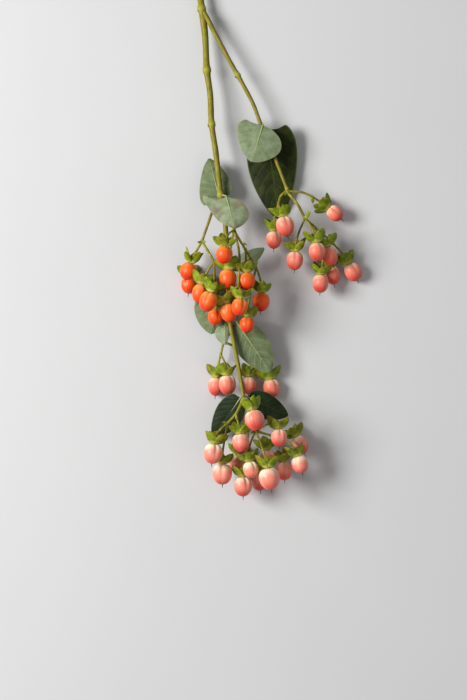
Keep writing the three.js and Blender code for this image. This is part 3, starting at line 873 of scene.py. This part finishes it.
def pedicel_line(start, base, axis, chance):
    """From the end of a ray to the receptacle, arriving along the berry's axis."""
    start = spot(start)
    seat = base + axis * 0.7 * MM
    foot = seat - axis * RECEPTACLE_LENGTH * 1.5 * MM
    reach = min(7 * MM, (foot - start).length * 0.4)
    turn = foot - axis * reach
    tint = chance.uniform(-1.2, 0.6)
    line = []
    for i in range(20):
        t = i / 19
        place = start * (1 - t) ** 2 + turn * 2 * t * (1 - t) + foot * t * t
        radius = PEDICEL_RADIUS * (1 + 0.25 * math.exp(-((t / 0.08) ** 2)) + 0.12 * t)
        line.append((place, radius * MM, (t, tint, 0.0)))
    for share, radius, flare in ((0.35, 0.8, 0.1), (0.65, 1.05, 0.3), (0.85, 1.3, 0.5), (1.0, 1.45, 0.6)):
        line.append((foot.lerp(seat, share), radius * MM, (1.0, tint, flare)))
    return line


rod_tree = swept_rod_tree()
green_stalk = stalk_skin()
chance = random.Random(23)
for cluster, rays in RAYS.items():
    lines = [ray_line(*plan, chance) for plan in rays.values()]
    for ray, (base, axis, length, radius) in zip(BERRY_RAYS[cluster].split(), seats[cluster]):
        lines.append(pedicel_line(rays[ray][2][-1], base, axis, chance))
    stalks = grown(line_mesh(f"stalks_{cluster}_rods", lines), rod_tree, Sides=10, Bark=green_stalk)
    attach(stalks, "root")
    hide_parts(f"stalks_{cluster}")


# ------------------------------------------------------------------ sepals and bracts
# Five leafy green sepals flare back from under each berry, yellow at the foot and red-brown at
# the rim, and small bracts of the same kind sit at the forks. Each is one of five blade shapes.
SEPAL_SHAPES = (
    # width, where widest, how far the sides fold in, bow outwards, how far the tip turns out
    (7.2, 0.42, 0.25, 0.4, 0.8), (6.6, 0.48, 0.1, 0.1, 1.1), (6.9, 0.4, 0.4, 0.8, 0.2),
    (5.2, 0.42, 0.3, 0.3, 1.1), (5.8, 0.48, 0.1, 0.0, 0.8), (4.8, 0.45, 0.4, 0.6, 1.2),
)
SEPAL_LENGTH = 10
SEPAL_SPREAD = 38
CALYX_TURNS = {  # how far each calyx is turned about its stalk from having one sepal on top
    "orange_left": (36, 0, 10, -10, -17),
    "orange_right": (-15, 36, 22, 26, -12, 0, -6),
    "coral_shoot": (5, 36, 0, 36, -8, 36, 8, 0, 0),
    "coral_back": (0, 36, 0, 0),
    "pink_tip": (30, 0, 36, 0, -20, 4, 0, 0, -32, 0, -30, 0, 4, 0),
}
BRACTS = {
    # cluster: (place, heading, dip, length)
    "orange_left": (((-40.4, -41.4, 20.2), -20, 30, 3.4), ((-40.9, -42, 20.2), 190, 30, 3.2)),
    "orange_right": (((-15.6, -42.6, 21.6), -30, 20, 3.6), ((-20.2, -35.4, 19), -130, 30, 3)),
    "coral_shoot": (
        ((23.3, -27.4, 18), 52, 20, 6.2), ((28.3, -13.7, 11), -86, -30, 4.4),
        ((12.3, -10.6, 15), -120, 20, 3.4), ((38, -39, 8.6), 60, 30, 3.6),
    ),
    "coral_back": (((-27, -104, 7.6), 170, 20, 3.2),),
    "pink_tip": (
        ((-24.4, -154, 25), 170, 20, 4), ((-7.1, -159, 24.8), 200, 20, 3.6),
        ((-10.6, -150, 23.2), 10, 25, 3.2), ((10, -164, 17.2), 40, 30, 3.4),
    ),
}


def sepal_skin():
    """Shade: share along, share across. Tint is the sepal's own, from green to red-brown."""
    sepal = Finish("sepal_green", Roughness=0.5, Specular_IOR_Level=0.2)
    along, across, _ = sepal.shade()
    tint = sepal.node("ShaderNodeAttribute", attribute_name="tint").outputs["Fac"]
    off = sepal.math("ABSOLUTE", across)
    place = sepal.place()
    mottle = sepal.cloud(place, 330, 4)
    bend = sepal.math("MULTIPLY", sepal.math("ADD", mottle, along), 0.12)
    veins = sepal.math("SINE", sepal.math("MULTIPLY", sepal.math("ADD", off, bend), 21))
    green = sepal.mix(sepal.step(mottle, 0.3, 0.7), paint("#56680A"), paint("#889A12"))
    veined = sepal.mix(sepal.math("MULTIPLY", sepal.step(veins, 0.2, 1.0), 0.1), green, paint("#A9BC4A"))
    midrib = sepal.mix(sepal.math("MULTIPLY", sepal.step(off, 0.12, 0.0), 0.3), veined, paint("#A4B652"))
    foot = sepal.mix(sepal.step(along, 0.32, 0.02), midrib, paint("#CBC76A"))
    rim = sepal.math("MULTIPLY", sepal.step(off, 0.7, 1.0), sepal.step(along, 0.2, 0.6))
    rim = sepal.math("MAXIMUM", rim, sepal.step(along, 0.8, 1.0))
    rust = sepal.math("ADD", sepal.math("MULTIPLY", mottle, 0.9), sepal.math("MULTIPLY", tint, 0.8))
    rimmed = sepal.mix(
        sepal.math("MULTIPLY", rim, sepal.step(rust, 0.2, 0.75)), foot, paint("#96602A")
    )
    aged = sepal.math("MULTIPLY", sepal.step(rust, 0.6, 1.0), 0.7)
    sepal.bump(sepal.math("ADD", mottle, sepal.math("MULTIPLY", veins, 0.12)), 0.0001)
    return sepal.colour(sepal.mix(aged, rimmed, paint("#96852A")))


def sepal_blade(name, width, widest, fold, bow, tip, across=4, rows=8):
    """One blade with its root at the origin, its tip along Y and its outer face along Z."""
    rings, marks = [], []
    columns = [-1 + 2 * i / across for i in range(across + 1)]
    for row in range(rows + 1):
        u = row / rows
        warped = u ** (math.log(0.5) / math.log(widest))
        half = width / 2 * max(0.0, math.sin(math.pi * warped)) ** 0.62
        half = max(half, 1.15 * (1 - u / 0.25), 0.1)
        arch = bow * math.sin(math.pi * u ** 0.9) + tip * u ** 3
        thick = 0.15 * (1 - 0.6 * u)
        top, low = (
            [(v * half, u * SEPAL_LENGTH, arch - fold * v * v * half / 2 + lift) for v in order]
            for order, lift in ((columns, thick), (columns[::-1], -thick))
        )
        rings.append([Vector(p) * MM for p in top + low])
        marks.append([(u, v, 0.0) for v in columns + columns[::-1]])
    around = 2 * (across + 1)
    shape = Shape()
    shape.tube(
        rings,
        uv=lambda row, column: marks[row][column % around][:2],
        shade=lambda row, column: marks[row][column],
    )
    return shape.build(name)


def scattered_blades_tree():
    """Sets one of several blades on each point, turned, sized and tinted as the point says."""
    tree, start, end = new_tree(
        "scattered_blades",
        (("Blades", "NodeSocketCollection", None), ("Skin", "NodeSocketMaterial", None)),
    )
    blades = tree.nodes.new("GeometryNodeCollectionInfo")
    blades.inputs["Separate Children"].default_value = True
    blades.inputs["Reset Children"].default_value = True
    tree.links.new(start.outputs["Blades"], blades.inputs["Collection"])
    turn = tree.nodes.new("FunctionNodeEulerToRotation")
    tree.links.new(named_value(tree, "turn", "FLOAT_VECTOR"), turn.inputs[0])
    placed = chain(
        tree, start.outputs["Geometry"],
        ("GeometryNodeInstanceOnPoints", {
            "Instance": blades.outputs[0], "Pick Instance": True,
            "Instance Index": named_value(tree, "kind", "INT"),
            "Rotation": turn.outputs[0], "Scale": named_value(tree, "size", "FLOAT_VECTOR"),
        }),
        ("GeometryNodeRealizeInstances", {}),
        ("GeometryNodeSetMaterial", {"Material": start.outputs["Skin"]}),
    )
    tree.links.new(placed, end.inputs[0])
    return tree


def blade_points(name, blades):
    """Points for blades, each with its place, turn, size, kind and tint."""
    mesh = bpy.data.meshes.new(name)
    mesh.from_pydata([b[0] for b in blades], [], [])
    columns = (
        ("turn", "FLOAT_VECTOR", "vector", [n for b in blades for n in b[1]]),
        ("size", "FLOAT_VECTOR", "vector", [n for b in blades for n in b[2]]),
        ("kind", "INT", "value", [b[3] for b in blades]),
        ("tint", "FLOAT", "value", [b[4] for b in blades]),
    )
    for label, kind, field, numbers in columns:
        mesh.attributes.new(label, kind, "POINT").data.foreach_set(field, numbers)
    made = bpy.data.objects.new(name, mesh)
    bpy.context.scene.collection.objects.link(made)
    return made


def turned(along, face):
    """The turn that lays a blade's length along one vector with its outer face towards another."""
    z = square_to(face, along)
    x = along.cross(z)
    return Matrix((x, along, z)).transposed().to_euler()


def calyx_blades(base, axis, turn, chance):
    """The sepals behind one berry, two broad and three narrower, their faces turned upwards."""
    back = -axis
    reach = square_to(UP, back)
    broad = chance.choice(((0, 2), (0, 3), (1, 4), (4, 2), (3, 1)))
    blades = []
    for i in range(5):
        around = math.radians(turn + 72 * i + chance.uniform(-9, 9))
        out = Matrix.Rotation(around, 3, back) @ reach
        spread = math.radians(SEPAL_SPREAD + chance.uniform(-14, 14))
        along = (back * math.cos(spread) + out * math.sin(spread)).normalized()
        twisted = out + UP * chance.uniform(0.4, 1.0) * (out.z > -0.5)
        root = base + axis * 0.35 * MM + out * 1.0 * MM
        long = chance.uniform(0.9, 1.08) if i in broad else chance.uniform(0.78, 1.02)
        size = (long * chance.uniform(0.9, 1.1), long, long * chance.uniform(0.5, 1.3))
        kind = chance.randrange(3) + (0 if i in broad else 3)
        blades.append((root, turned(along, twisted), size, kind, chance.uniform(-0.35, 0.45)))
    return blades


def bract_blade(place, heading, dip, length, chance):
    along = direction(heading, dip)
    size = (length / SEPAL_LENGTH * 0.8, length / SEPAL_LENGTH, length / SEPAL_LENGTH)
    return (spot(place), turned(along, UP), size, 3 + chance.randrange(3), chance.uniform(-0.4, 0.2))


blade_kinds = bpy.data.collections.new("blade_kinds")
for i, plan in enumerate(SEPAL_SHAPES):
    blade = sepal_blade(f"blade_{i}", *plan)
    bpy.context.scene.collection.objects.unlink(blade)
    blade_kinds.objects.link(blade)
blades_tree = scattered_blades_tree()
sepal_finish = sepal_skin()
chance = random.Random(5)
for cluster in CLUSTERS:
    blades = []
    for turn, (base, axis, length, radius) in zip(CALYX_TURNS[cluster], seats[cluster]):
        blades += calyx_blades(base, axis, turn, chance)
    blades += [bract_blade(*plan, chance) for plan in BRACTS[cluster]]
    calyx = grown(
        blade_points(f"stalks_{cluster}_sepals", blades), blades_tree,
        Blades=blade_kinds, Skin=sepal_finish,
    )
    calyx.data.shade_smooth()
    for vertex in calyx.data.vertices:  # a sepal under a berry on the table is pressed flat
        if vertex.co.z < 0.25 * MM:
            vertex.co.z = 0.25 * MM + 0.1 * (vertex.co.z - 0.25 * MM)
    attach(calyx, "root")
    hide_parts(f"stalks_{cluster}")
for blade in list(blade_kinds.objects):
    bpy.data.objects.remove(blade)
bpy.data.collections.remove(blade_kinds)


# ------------------------------------------------------------------ styles
# The dried brown thread that is left on the tip of each fruit, with a dark collar at its foot.
def style_skin():
    style = Finish("style_brown", Roughness=0.7, Specular_IOR_Level=0.2)
    grain = style.cloud(style.place(), 900, 2)
    style.bump(grain, 0.00006)
    return style.colour(style.mix(style.step(grain, 0.3, 0.7), paint("#33221A"), paint("#5E4432")))


def style_line(base, axis, length, chance):
    side = axis.cross(UP).normalized()
    sway = Matrix.Rotation(chance.uniform(0, 2 * math.pi), 3, axis) @ side
    foot = base + axis * (length - 0.25 * MM)
    line = []
    for i in range(9):
        share = i / 8
        radius = (0.55, 0.34, 0.26, 0.23, 0.21, 0.19, 0.17, 0.16, 0.1)[i]
        place = foot + axis * share * STYLE_LENGTH * MM + sway * 0.3 * share ** 2 * MM
        line.append((place, radius * MM, (share, 0.0, 0.0)))
    return line


chance = random.Random(41)
dried = style_skin()
for cluster in CLUSTERS:
    lines = [style_line(base, axis, length, chance) for base, axis, length, _ in seats[cluster]]
    styles = grown(line_mesh(f"berry_{cluster}_styles", lines), rod_tree, Sides=6, Bark=dried)
    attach(styles, "root")


# ------------------------------------------------------------------ setting
# A pale table, one broad soft lamp high on the left and a pale sky, with the camera overhead.
VIEW_CENTRE = (-21, -109, 0)
CAMERA_HEIGHT = 1.3
VIEW_HEIGHT = 0.434
SENSOR = 24.0

table_mesh = bpy.data.meshes.new("table")
table_mesh.from_pydata([(-3, -3, 0), (3, -3, 0), (3, 3, 0), (-3, 3, 0)], [], [(0, 1, 2, 3)])
table = bpy.data.objects.new("table", table_mesh)
bpy.context.scene.collection.objects.link(table)
plaster = Finish("table_plaster", Roughness=0.9, Specular_IOR_Level=0.1)
mottle = plaster.cloud(plaster.place(), 9, 2)
table_mesh.materials.append(
    plaster.colour(plaster.mix(mottle, paint("#C9C9C9"), paint("#CDCDCD")))
)

world = bpy.data.worlds.new("sky")
bpy.context.scene.world = world
world.use_nodes = True
world.node_tree.nodes["Background"].inputs["Color"].default_value = (1.0, 1.0, 1.0, 1.0)
world.node_tree.nodes["Background"].inputs["Strength"].default_value = 0.285

centre = spot(VIEW_CENTRE)
LAMPS = (("window", (-1.05, 0.22, 0.95), 0.6, 27.1), ("fill", (0.9, -0.8, 1.2), 1.2, 2.5))
for name, offset, size, power in LAMPS:
    lamp = bpy.data.lights.new(name, "AREA")
    lamp.energy = power
    lamp.size = size
    holder = bpy.data.objects.new(name, lamp)
    holder.location = centre + Vector(offset)
    holder.rotation_euler = (-Vector(offset)).to_track_quat("-Z", "Y").to_euler()
    bpy.context.scene.collection.objects.link(holder)

lens = bpy.data.cameras.new("camera")
lens.sensor_fit = "VERTICAL"
lens.sensor_height = SENSOR
lens.lens = SENSOR * (CAMERA_HEIGHT - 0.018) / VIEW_HEIGHT
camera = bpy.data.objects.new("camera", lens)
camera.location = centre + UP * CAMERA_HEIGHT
bpy.context.scene.collection.objects.link(camera)
bpy.context.scene.camera = camera
bpy.context.scene.view_settings.view_transform = "Standard"
